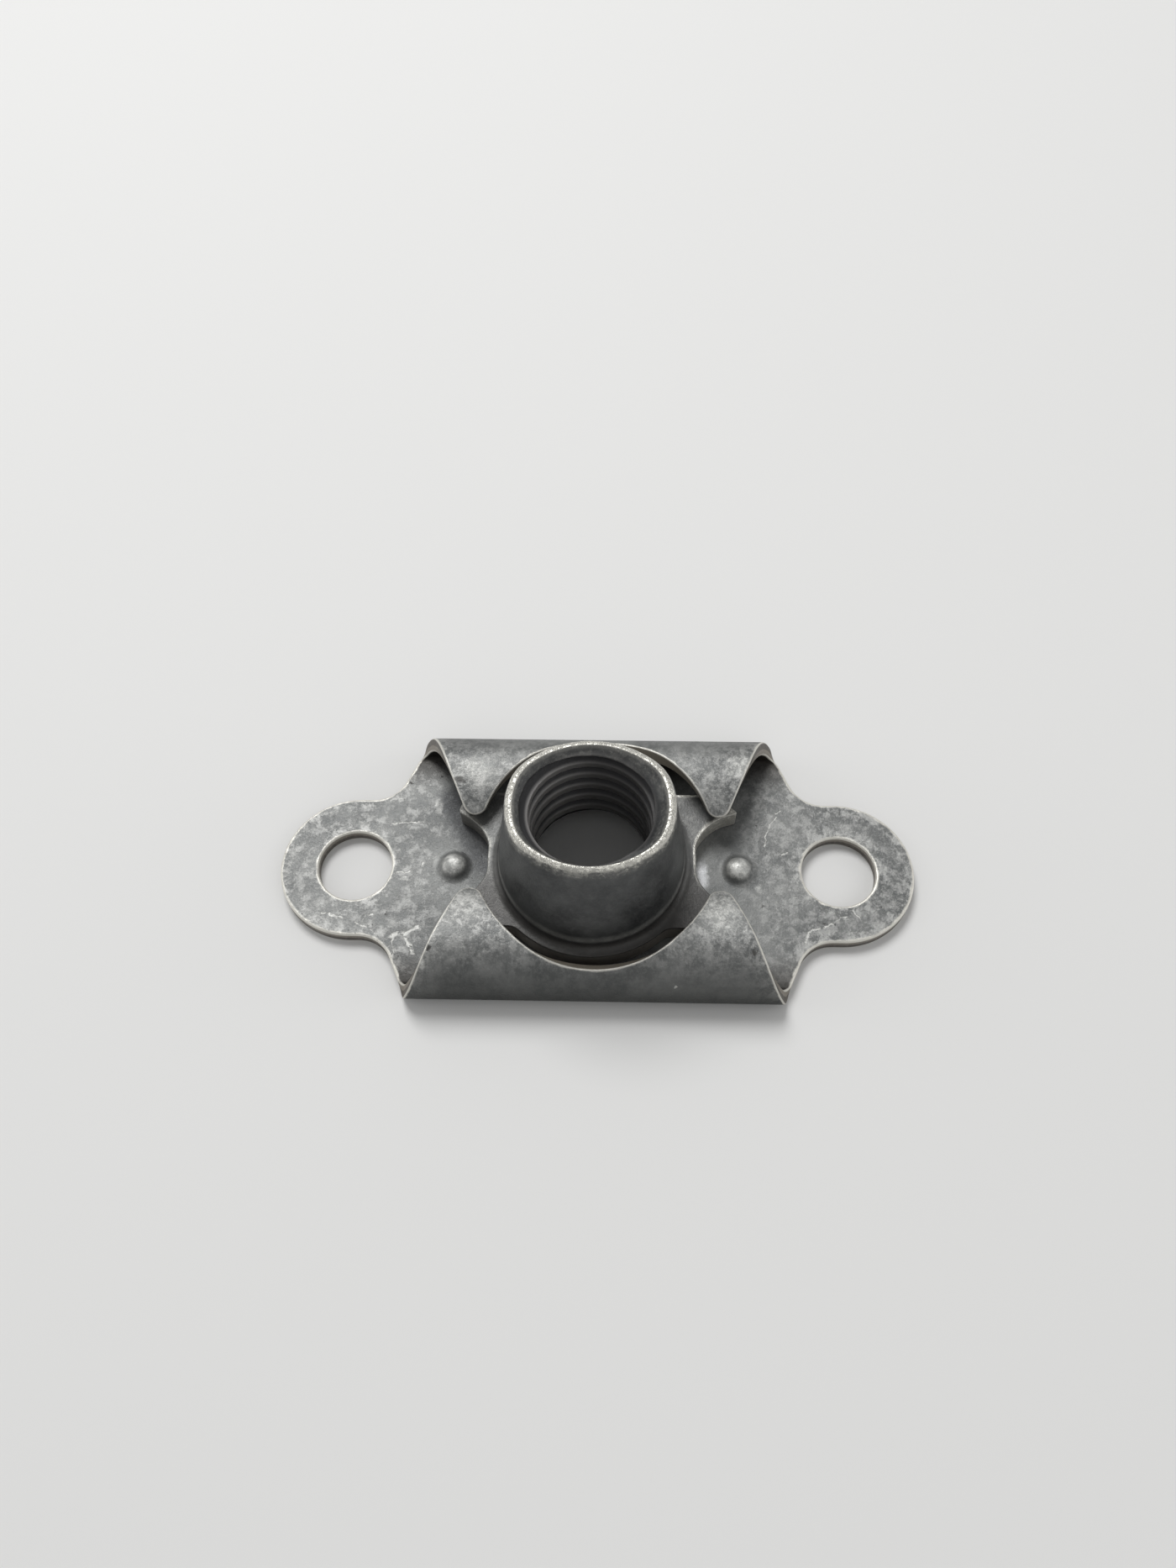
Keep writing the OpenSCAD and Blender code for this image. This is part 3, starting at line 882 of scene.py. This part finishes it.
# %% Where the cage was scratched: (from, to, width) in millimetres on the flat blank
SCRATCHES = [
    ((-7.55, 1.71), (-6.46, 1.8), 0.04), ((-7.33, -0.32), (-6.63, -0.15), 0.045),
    ((-6.29, 0.19), (-6.32, 0.03), 0.06), ((-9.71, -1.85), (-8.97, -2.05), 0.06),
    ((-8.28, -2.08), (-7.93, -1.88), 0.05), ((-8.5, -2.18), (-7.74, -2.63), 0.06),
    ((-7.74, -2.63), (-7.77, -2.83), 0.05), ((-7.19, -2.65), (-6.62, -2.58), 0.1),
    ((-6.62, -2.58), (-6.25, -2.33), 0.09), ((-7.11, -2.68), (-7.03, -3.67), 0.055),
    ((-6.67, -2.75), (-6.31, -3.35), 0.08), ((6.71, 2.44), (6.14, 1.39), 0.04),
    ((6.14, 1.39), (6.14, 0.94), 0.035), ((7.58, -2.29), (7.34, -2.74), 0.05),
    ((8.88, -1.7), (8.16, -2.07), 0.05), ((8.16, -2.07), (7.64, -2.25), 0.045),
    ((9.06, -1.44), (9.33, -1.78), 0.04), ((6.69, 0.69), (6.94, 0.68), 0.045)]
PAINTED_SHADOW_STROKE = ((-5.3, 2.7), (-3.95, 0.25), 0.9)  # painted shadow of the back left finger, on the plate beside the nut
print(len(SCRATCHES), "scratches")

# %% Where it was rubbed and stained, and where light is painted on: (centre, reach across, reach along, softness)
# The four broad soft spots on the finger tips are partly rubbed wear and partly a painted highlight where the
# tips face up.
RUBBED = [
    ((-5.86, 2.48), 0.22, 0.42, 0.5), ((-6.92, -0.5), 0.22, 0.11, 0.5), ((-7.29, 2.66), 0.13, 0.13, 0.6),
    ((5.82, -0.71), 0.2, 0.26, 0.9), ((-7.0, -4.0), 0.13, 0.16, 0.5), ((-4.45, -8.4), 1.2, 1.15, 0.95),
    ((4.15, -8.25), 1.2, 1.2, 0.95), ((-4.3, 7.7), 0.95, 0.85, 0.9), ((5.1, 7.3), 0.7, 0.8, 0.9),
    ((2.77, -5.76), 0.07, 0.07, 0.4), ((-5.74, -6.4), 0.13, 0.22, 0.5)]
# A painted pool of light on the plate beside the nut.
PAINTED_LIGHT_SPOTS = [((3.82, -0.25), 0.3, 0.8, 0.8)]
STAINED = [
    ((-5.55, -6.84), 0.14, 0.14, 0.6), ((5.4, -6.87), 0.15, 0.13, 0.6), ((-4.91, 7.97), 0.3, 0.2, 0.8)]
print(len(RUBBED), "rubbed spots,", len(PAINTED_LIGHT_SPOTS), "polished,", len(STAINED), "stained")

# %% Colours of the cage, from its coat down to bare steel, with painted shade and painted light
# The fourth of these colours is painted shade for the foot of each flap.
COAT_DARK, COAT_PALE, COAT_WORN, PAINTED_FLAP_FOOT_SHADE = (
    (0.115, 0.12, 0.118), (0.19, 0.195, 0.19), (0.47, 0.47, 0.455), (0.026, 0.028, 0.026))
HAIRLINE, PIT, SCRATCHED = (0.6, 0.6, 0.58), (0.035, 0.03, 0.026), (0.66, 0.66, 0.63)
# On the next line: a painted highlight for the dimple tops, a painted pool of light beside the nut and a
# painted shadow under the back left finger.
DOME_HIGHLIGHT, PAINTED_LIGHT_TINT, PAINTED_SHADOW_TINT = (0.7, 0.7, 0.67), (0.8, 0.81, 0.83), (0.05, 0.052, 0.055)
STAIN, FOLD_SHADE = (0.03, 0.027, 0.024), (0.03, 0.026, 0.022)
# The third of these colours lightens the notch walls, as painted light against the shade they lie in.
CUT_DARK, CUT_PALE, NOTCH_WALL_LIGHT = (0.1, 0.088, 0.075), (0.26, 0.235, 0.2), (0.36, 0.32, 0.26)
BARE_EDGE = (0.82, 0.8, 0.73)
print("bare steel is", round(BARE_EDGE[0] / COAT_DARK[0], 1), "times as bright as the coat")

# %% Places on the cage, as masks
place = s.attribute("flat_place", "Vector")
edge_gap, cut_wall = s.attribute("edge_gap"), s.attribute("cut_wall")
x, y, z = s.split(place)
from_middle = s.do("ABSOLUTE", x)
up_flap = s.do("ABSOLUTE", y) - BEND_Y
on_flap = s.ramp(up_flap, -0.2, 0.3)
on_lug = s.ramp(from_middle, 4.8, 6.6)
outer_face = s.do("ABSOLUTE", s.ramp(z, 0.2, 0.3) - on_flap)
inside_fold = s.ramp(up_flap, -1.4, 0.0) * s.ramp(z, 0.3, 0.45)
# Painted shade: the lower part of each flap, darker towards its foot.
low_flap_shade = on_flap * s.ramp(up_flap, 2.4, 0.4)
# Upper flaps and finger tips: partly worn pale, partly a painted highlight where they face up.
tips = on_flap * s.ramp(up_flap, 1.5, 3.3)
halo = s.ramp(edge_gap, 0.75, 0.05) * on_lug
# Dimple tops, which get a painted highlight.
domes = s.ramp(z, SHEET + 0.1, SHEET + 0.33)
s.count("find the places")

# %% Patterns in its coat
large = s.use(blotches, place, Size=2.2, Low=0.4, High=0.62, Breakup=0.62)
middle = s.use(blotches, place, Size=0.4, Low=0.42, High=0.6, Breakup=0.78)
speckle = s.use(blotches, place, Size=0.12, Low=0.5, High=0.64, Breakup=0.7)
pits = s.use(blotches, place, Size=0.3, Low=0.34, High=0.26, Breakup=0.7)
cracks = s.use(hairlines, place, Size=1.0, Width=0.028, Share=0.36)
rub = s.use(worn_edge, place, Edge_Gap=edge_gap, Reach=s.blend(0.13, 0.085, on_flap), Breakup=0.6)
s.count("with the patterns")


# %% Marks drawn on a slightly crooked copy of the place
def stroke(s, place, start, end, width):
    return s.use(scratch, place, From=(*start, 0.0), To=(*end, 0.0), Width=width)


def any_spot(s, place, spots):
    """The strongest of several spots."""
    mask = 0.0
    for centre, across, along, soft in spots:
        mask = s.do("MAXIMUM", mask, s.use(
            rubbed_spot, place, Centre=(*centre, 0.0), Reach_X=across, Reach_Y=along, Softness=soft))
    return mask


drift = s.vector("SUBTRACT", s.noise(place, 4.0, 5.0, colour=True), (0.5, 0.5, 0.5))
bent = s.vector("MULTIPLY", s.vector("ADD", place, s.scaled(drift, 0.34)), (1.0, 1.0, 0.0))
drawn = 0.0
for start, end, width in SCRATCHES:
    drawn = s.do("MAXIMUM", drawn, stroke(s, bent, start, end, width))
drawn = drawn * outer_face * s.ramp(s.noise(place, 5.0, 3.0, 0.6), 0.34, 0.5)
flakes = 0.3 + (speckle * 0.6 + middle * 0.35)
rubbed = any_spot(s, bent, RUBBED) * outer_face * flakes
# A painted pool of light beside the nut, real stains, and a painted shadow under the back left finger.
painted_light_patch, stained, painted_shadow = (mark * outer_face for mark in (
    any_spot(s, bent, PAINTED_LIGHT_SPOTS), any_spot(s, bent, STAINED), stroke(s, bent, *PAINTED_SHADOW_STROKE)))
s.count("with the marks")

# %% Its cut walls and its bare edges
streaks = s.noise(s.vector("MULTIPLY", place, (9.0, 9.0, 0.8)), 1.0, 3.0, 0.6)
sheared = s.ramp(z, 0.24, 0.3) * 0.5
cut = s.mix(CUT_DARK, CUT_PALE, s.ramp(streaks + (sheared - 0.2), 0.3, 0.7))
# The notch walls are painted lighter, as painted light against the shade they lie in.
in_notch = on_flap * s.ramp(from_middle, 4.2, 3.2)
cut = s.mix(cut, NOTCH_WALL_LIGHT, in_notch * 0.8)
bare = rub * (1.0 - cut_wall) * s.blend(1.0, 0.8, on_flap)
s.count("with the cut walls")

# %% Its colour, layer on layer
# Pale wear on the lugs and their edges, with a painted highlight on the upper flaps and finger tips.
wear_and_tip_highlight = 0.2 + on_lug * 0.55 + (tips * 0.8 + halo * 0.5)
pale = s.do("MULTIPLY", middle * 0.62 + speckle * 0.42, wear_and_tip_highlight, clamp=True)
s.put(skin["Base Color"], s.layers(
    s.mix(COAT_DARK, COAT_PALE, large),
    (COAT_WORN, pale),
    # painted shade, darker towards the foot of each flap
    (PAINTED_FLAP_FOOT_SHADE, low_flap_shade * 0.88),
    (HAIRLINE, cracks * (0.06 + on_lug * 0.5)),
    (PIT, pits * 0.6),
    (SCRATCHED, s.do("MAXIMUM", drawn * 0.85, rubbed * 0.85)),
    # painted highlight on the dimple tops
    (DOME_HIGHLIGHT, domes * (0.4 + middle * 0.6)),
    # painted pool of light beside the nut
    (PAINTED_LIGHT_TINT, painted_light_patch * 0.7),
    # painted shadow under the back left finger
    (PAINTED_SHADOW_TINT, painted_shadow * 0.8),
    (STAIN, stained * 0.8),
    (FOLD_SHADE, inside_fold * 0.85),
    (cut, cut_wall * 0.9),
    (BARE_EDGE, bare * 0.9)))
s.count("with the colours")

# %% Its shine and its relief
s.put(skin["Metallic"], s.blend(0.4, 0.5, bare))
s.put(skin["Roughness"], s.blend(0.46, 0.36, bare) + (speckle - 0.4) * 0.12)
# The painted shade at the foot of the flaps also takes away some of their shine.
s.put(skin["Specular IOR Level"], s.blend(0.5, 0.15, low_flap_shade))
grain = s.noise(place, 14.0, 5.0, 0.65)
relief = grain + middle * 0.3 + drawn * -0.8
bump(s, skin, relief - s.do("MAXIMUM", pits, stained), 0.014)
s.count("in the cage's steel")

# %% [markdown]
# ## The nut's steel
# The barrel keeps more of its dark coat. Its rim is rubbed bright all round, and so are the thread's crests,
# because tools and screws touch them; the crests on the left get a painted highlight as well. Painted shade
# darkens the front of the barrel's foot and the bore below its mouth, a painted highlight runs round the foot
# of the cone, and the flange's side is painted lit on the right, shaded on the left and lighter where it
# faces the flaps. The cage's finish could be used again, but the nut was never flat. So its places come from
# height and radius, measured from the nut's own axis.

# %% Colours of the nut, with its painted shade and painted highlights
NUT_DARK, NUT_PALE, NUT_WORN = (0.042, 0.044, 0.045), (0.085, 0.088, 0.088), (0.2, 0.2, 0.195)
# On the next line, the first colour is a painted highlight round the foot of the cone, and the third is
# painted shade at the front of the foot.
FOOT_HIGHLIGHT, FLANGE_TOP, FRONT_FOOT_SHADE = (0.42, 0.42, 0.4), (0.2, 0.2, 0.19), (0.05, 0.047, 0.044)
# On the next line: the flange's side in painted shade and in painted light, then painted light where the side
# faces the flaps.
SIDE_SHADED, SIDE_LIT, SIDE_GAP_LIGHT = (0.05, 0.048, 0.046), (0.13, 0.12, 0.105), (0.42, 0.39, 0.35)
# On the next line: painted shade deep in the bore, the crests' rub with a painted highlight, and the rubbed
# rim.
BORE_SHADE, CREST_RUB_AND_HIGHLIGHT, BARE_RIM = (0.035, 0.035, 0.037), (0.36, 0.35, 0.34), (0.9, 0.88, 0.8)
nut_steel, s, skin = finish("worn_nut_steel")

# %% Places on the nut, as masks
place = s.scaled(s.node("ShaderNodeTexCoord", "Object", []), 1 / MM)
edge_gap, wall = s.attribute("edge_gap"), s.attribute("bore_wall")
x, y, height = s.split(s.vector("SUBTRACT", place, (NUT_X, 0.0, NUT_Z)))
radius = s.length(x, y)
in_bore = s.ramp(wall, 0.0002, 0.001)
crests = in_bore * s.ramp(radius - wall * (1 / MM), 0.14, 0.0)
on_flange = s.ramp(height, FLANGE_T + 0.2, FLANGE_T + 0.02)
under_cone = s.ramp(height, FLANGE_T + 0.34, FLANGE_T + 0.16) * s.ramp(height, FLANGE_T - 0.1, FLANGE_T)
side_band = s.ramp(height, FLANGE_T - 0.02, FLANGE_T - 0.08) * s.ramp(height, 0.01, 0.05)
flange_side = side_band * (1.0 - in_bore)
# A painted highlight in a band round the foot of the cone.
foot_highlight = s.ramp(height, FLANGE_T + 0.75, FLANGE_T + 0.42)
foot_highlight = s.ramp(height, FLANGE_T + 0.2, FLANGE_T + 0.4) * foot_highlight
at_back, on_right = s.ramp(y, -1.5, 0.5), s.ramp(x, -1.5, 0.5)
in_gap = s.ramp(s.do("ABSOLUTE", x), 3.4, 2.8)
below_rim = NUT_H - height
s.count("find the places")

# %% Its patterns, its rubbed rim and its rubbed ears
large = s.use(blotches, place, Size=1.6, Low=0.36, High=0.62, Breakup=0.62)
middle = s.use(blotches, place, Size=0.45, Low=0.45, High=0.64, Breakup=0.7)
speckle = s.use(blotches, place, Size=0.13, Low=0.48, High=0.66, Breakup=0.7)
rim_core = s.use(worn_edge, place, Edge_Gap=below_rim, Reach=0.14, Breakup=0.5)
rim_soft = s.ramp(below_rim, 0.5, 0.05) * (0.12 + (middle * 0.4 + speckle * 0.3))
rim_rub = s.do("MAXIMUM", rim_core, rim_soft) * (1.0 - in_bore * 0.7)
ear_rub = s.use(worn_edge, place, Edge_Gap=edge_gap, Reach=0.14, Breakup=0.7)
ear_rub = ear_rub * on_flange * at_back * s.blend(0.3, 1.0, on_right)
bare = s.do("MAXIMUM", rim_rub, ear_rub * 0.8)
s.count("with the patterns")

# %% Its colour, layer on layer
s.put(skin["Base Color"], s.layers(
    s.mix(NUT_DARK, NUT_PALE, large),
    (NUT_WORN, speckle * 0.16 + middle * 0.12),
    # painted highlight round the foot of the cone
    (FOOT_HIGHLIGHT, foot_highlight * (0.45 + middle * 0.3)),
    (FLANGE_TOP, on_flange * (0.35 + middle * 0.4)),
    # painted shade at the front of the barrel's foot
    (FRONT_FOOT_SHADE, under_cone * (1.0 - at_back) * 0.75),
    # flange side: painted shade on the left, painted light on the right
    (s.mix(SIDE_SHADED, SIDE_LIT, on_right), flange_side * 0.9),
    # painted light on the flange's side where it faces the flaps
    (SIDE_GAP_LIGHT, flange_side * in_gap * 0.9),
    # painted shade, darker deeper in the bore
    (BORE_SHADE, in_bore * s.ramp(height, NUT_H - 0.2, NUT_H - 0.6)),
    # rubbed crests, with a painted highlight on the left
    (CREST_RUB_AND_HIGHLIGHT, crests * (0.3 + s.ramp(x, 0.5, -1.6) * 0.6)),
    (BARE_RIM, bare * (0.55 + speckle * 0.45))))
s.count("with the colours")

# %% Its shine and its relief
s.put(skin["Metallic"], s.blend(0.35, 0.55, bare))
s.put(skin["Roughness"], s.blend(0.42, 0.32, bare) + (speckle - 0.4) * 0.12)
grain = s.noise(place, 14.0, 5.0, 0.65)
bump(s, skin, grain + speckle * (bare * 1.2), 0.011)
s.count("in the nut's steel")

# %% [markdown]
# ## Take the CAD pieces' places
# Each finished mesh stands in for one CAD piece and moves with that piece's body, so the nut still slides.
# The CAD meshes could be painted instead, but they have no thread and no rounded edges.

# %% Put the finishes on and take the CAD pieces' places
for thing, node, body, slot, steel in ((cage, "cage", "cage", "cage_steel", cage_steel),
                                       (nut, "nut_element", "nut", "nut_steel", nut_steel)):
    thing.data.materials.clear()
    thing.data.materials.append(steel)
    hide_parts(node)
    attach(thing, body)
    print(thing.name, "stands in for", node)

# %% [markdown]
# ## Floor, light and camera
# A part this dark reads best on plain pale paper. A bright lamp would burn out the bare edges, and a hard one
# would hide the grain in glare. So one large soft lamp stands behind the part, wide dim ones at its sides
# draw the long reflections in the rolled flaps, and an even white sky fills the rest.

# %% Floor
FLOOR_HALF = 0.4
FLOOR_Z = -0.00002  # just under the part
PAPER = (0.8, 0.8, 0.79, 1)
floor_mesh = bpy.data.meshes.new("floor")
corners = [(x * FLOOR_HALF, y * FLOOR_HALF, FLOOR_Z) for x, y in ((-1, -1), (1, -1), (1, 1), (-1, 1))]
floor_mesh.from_pydata(corners, [], [(0, 1, 2, 3)])
floor = to_scene("floor", floor_mesh)
paper, s, skin = finish("floor_paper")
s.put(skin["Base Color"], PAPER)
s.put(skin["Roughness"], 0.8)
floor_mesh.materials.append(paper)
print("floor", 2 * FLOOR_HALF, "m wide")

# %% Lamps: (place and width in metres, power in watts)
LAMPS = {
    "key": ((-0.05, 0.12, 0.2), 0.12, 0.33), "fill": ((0.15, -0.1, 0.15), 0.15, 0.03),
    "left side": ((-0.2, 0.02, 0.07), 0.14, 0.055), "right side": ((0.2, 0.02, 0.07), 0.14, 0.055)}
for name, (spot, width, power) in LAMPS.items():
    data = bpy.data.lights.new(name, "AREA")
    data.shape, data.size, data.energy = "DISK", width, power
    lamp = to_scene(name, data)
    lamp.location = spot
    lamp.rotation_euler = (-Vector(spot)).to_track_quat("-Z", "Y").to_euler()
print("lamps:", ", ".join(LAMPS))

# %% Sky
SKY = 0.35
world = bpy.data.worlds.new("studio")
world.use_nodes = True
background = world.node_tree.nodes["Background"].inputs
background["Color"].default_value = (1, 1, 1, 1)
background["Strength"].default_value = SKY
bpy.context.scene.world = world
bpy.context.scene.view_settings.view_transform = "Standard"
print("sky", SKY)

# %% Camera: its place in millimetres, and the directions of its right, its top and its back
EYE = (0.596, -18.574, 41.481)
RIGHT = (0.9997, 0.0206, -0.0123)
UP = (-0.0123, 0.8805, 0.4738)
BACK = (0.0205, -0.4735, 0.8805)
SENSOR, FRAME_H, FOCAL = 36, 1866, 1480
camera_data = bpy.data.cameras.new("camera")
camera_data.sensor_width = SENSOR
camera_data.lens = SENSOR * FOCAL / FRAME_H
camera_data.clip_start, camera_data.clip_end = 0.001, 5
camera = to_scene("camera", camera_data)
turned_to = Matrix((RIGHT, UP, BACK)).transposed().to_4x4()
camera.matrix_world = Matrix.Translation([v * MM for v in EYE]) @ turned_to
bpy.context.scene.camera = camera
print("lens", round(camera_data.lens, 2), "mm")

# %% [markdown]
# The visual pieces must lie inside the CAD model's box.
